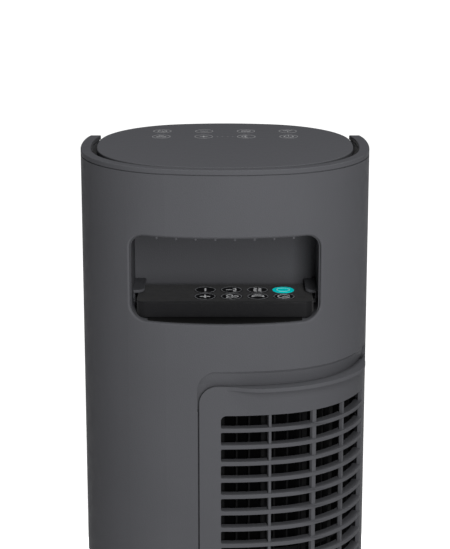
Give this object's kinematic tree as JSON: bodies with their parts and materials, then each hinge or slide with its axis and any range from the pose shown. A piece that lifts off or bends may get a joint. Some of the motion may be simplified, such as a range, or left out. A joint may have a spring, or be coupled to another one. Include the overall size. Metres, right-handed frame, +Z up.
{
  "type": "tower fan",
  "caption": "Oscillating tower fan with an oval body on a round base, remote dock in the back, tilt-out intake panel, touch top and a docked remote.",
  "frame": {"origin": "middle of the round base where it stands on the floor", "axes": "+Z up; +Y out of the air outlet; -Y is the back with the remote dock and intake panel; +X is the side the intake panel is on"},
  "size_m": [0.3, 0.3, 0.9],
  "materials": {
    "shell_charcoal": "fine moulded texture",
    "panel_charcoal": "fine moulded texture",
    "top_charcoal": "satin with a fine texture",
    "inner_black": "matt",
    "filter_black": "matt",
    "filter_cloth": "fine woven mesh",
    "remote_black": "satin",
    "button_black": "soft touch",
    "button_teal": "soft touch",
    "ir_black": "polished",
    "impeller_grey": "glass filled",
    "gear_acetal": "moulded acetal",
    "rubber_black": "matt",
    "steel": "bright",
    "plated_steel": "zinc plated",
    "cast_weight": "as cast",
    "brass": "machined",
    "board_green": "solder mask",
    "led_white": "clear",
    "cell_steel": "bright",
    "wire_grey": "sleeved"
  },
  "bodies": {
    "base": {"rubber_feet": "rubber_black", "base_plate": "plated_steel", "base_cover": "shell_charcoal", "base_screws": "plated_steel", "ballast_weight": "cast_weight", "mains_inlet": "inner_black", "inlet_pins": "brass", "pivot_post": "steel", "swivel_gear": "gear_acetal", "thrust_washer": "gear_acetal", "retaining_ring": "steel"},
    "tower": {"turntable": "inner_black", "swivel_motor": "plated_steel", "lower_cap": "inner_black", "turntable_screws": "plated_steel", "rear_shell": "shell_charcoal", "rim_trim": "shell_charcoal", "front_shell": "shell_charcoal", "top_housing": "inner_black", "top_panel": "top_charcoal", "control_board": "board_green", "indicator_leds": "led_white", "outlet_grille": "panel_charcoal", "dock_liner": "shell_charcoal", "dock_rails": "shell_charcoal", "dock_mat": "rubber_black", "fan_motor": "plated_steel", "motor_bracket": "plated_steel", "motor_grommets": "rubber_black", "duct_floor": "inner_black", "duct_roof": "inner_black", "scroll_wall": "inner_black", "air_tongue": "inner_black", "top_bush": "brass", "bearing_seat": "rubber_black", "driver_board": "board_green", "wiring_loom": "wire_grey"},
    "swivel_pinion": {"swivel_pinion": "gear_acetal", "pinion_shaft": "steel"},
    "impeller": {"impeller": "impeller_grey", "impeller_stub_shaft": "steel", "motor_shaft": "steel"},
    "intake_panel": {"intake_grille": "panel_charcoal", "filter_frame": "filter_black", "filter_cloth": "filter_cloth"},
    "remote": {"remote_upper_case": "remote_black", "remote_lower_case": "remote_black", "battery_door": "remote_black", "coin_cell": "cell_steel", "remote_board": "board_green", "key_mat": "button_black", "ir_window": "ir_black"},
    "button_minus": {"button_minus": "button_black"},
    "button_swing": {"button_swing": "button_black"},
    "button_mode": {"button_mode": "button_black"},
    "button_power": {"button_power": "button_teal"},
    "button_plus": {"button_plus": "button_black"},
    "button_fan_speed": {"button_fan_speed": "button_black"},
    "button_night": {"button_night": "button_black"},
    "button_timer": {"button_timer": "button_black"}
  },
  "joints": [
    {"name": "tower_swivel", "type": "hinge", "parent": "base", "child": "tower", "pos_m": [0, 0, 0.044], "axis": [0, 0, 1], "range_deg": [-40, 40]},
    {"name": "pinion_spin", "type": "hinge", "parent": "tower", "child": "swivel_pinion", "pos_m": [0.0376, 0, 0.036], "axis": [0, 0, 1], "range_deg": [-161, 161]},
    {"name": "impeller_spin", "type": "hinge", "parent": "tower", "child": "impeller", "pos_m": [0.008, -0.006, 0.5], "axis": [0, 0, 1], "continuous": true},
    {"name": "intake_panel_tilt", "type": "hinge", "parent": "tower", "child": "intake_panel", "pos_m": [0.0604, -0.0826, 0.116], "axis": [0.8934, 0.4494, 0], "range_deg": [0, 25]},
    {"name": "remote_slide", "type": "slide", "parent": "tower", "child": "remote", "axis": [0, -1, 0], "range_m": [0, 0.09]},
    {"name": "button_minus_press", "type": "slide", "parent": "remote", "child": "button_minus", "axis": [0, 0, -1], "range_m": [0, 0.0008], "stiffness_N_per_m": 400},
    {"name": "button_swing_press", "type": "slide", "parent": "remote", "child": "button_swing", "axis": [0, 0, -1], "range_m": [0, 0.0008], "stiffness_N_per_m": 400},
    {"name": "button_mode_press", "type": "slide", "parent": "remote", "child": "button_mode", "axis": [0, 0, -1], "range_m": [0, 0.0008], "stiffness_N_per_m": 400},
    {"name": "button_power_press", "type": "slide", "parent": "remote", "child": "button_power", "axis": [0, 0, -1], "range_m": [0, 0.0008], "stiffness_N_per_m": 400},
    {"name": "button_plus_press", "type": "slide", "parent": "remote", "child": "button_plus", "axis": [0, 0, -1], "range_m": [0, 0.0008], "stiffness_N_per_m": 400},
    {"name": "button_fan_speed_press", "type": "slide", "parent": "remote", "child": "button_fan_speed", "axis": [0, 0, -1], "range_m": [0, 0.0008], "stiffness_N_per_m": 400},
    {"name": "button_night_press", "type": "slide", "parent": "remote", "child": "button_night", "axis": [0, 0, -1], "range_m": [0, 0.0008], "stiffness_N_per_m": 400},
    {"name": "button_timer_press", "type": "slide", "parent": "remote", "child": "button_timer", "axis": [0, 0, -1], "range_m": [0, 0.0008], "stiffness_N_per_m": 400}
  ],
  "couplings": [
    {"joint": "pinion_spin", "follows": "tower_swivel", "ratio": 4}
  ]
}
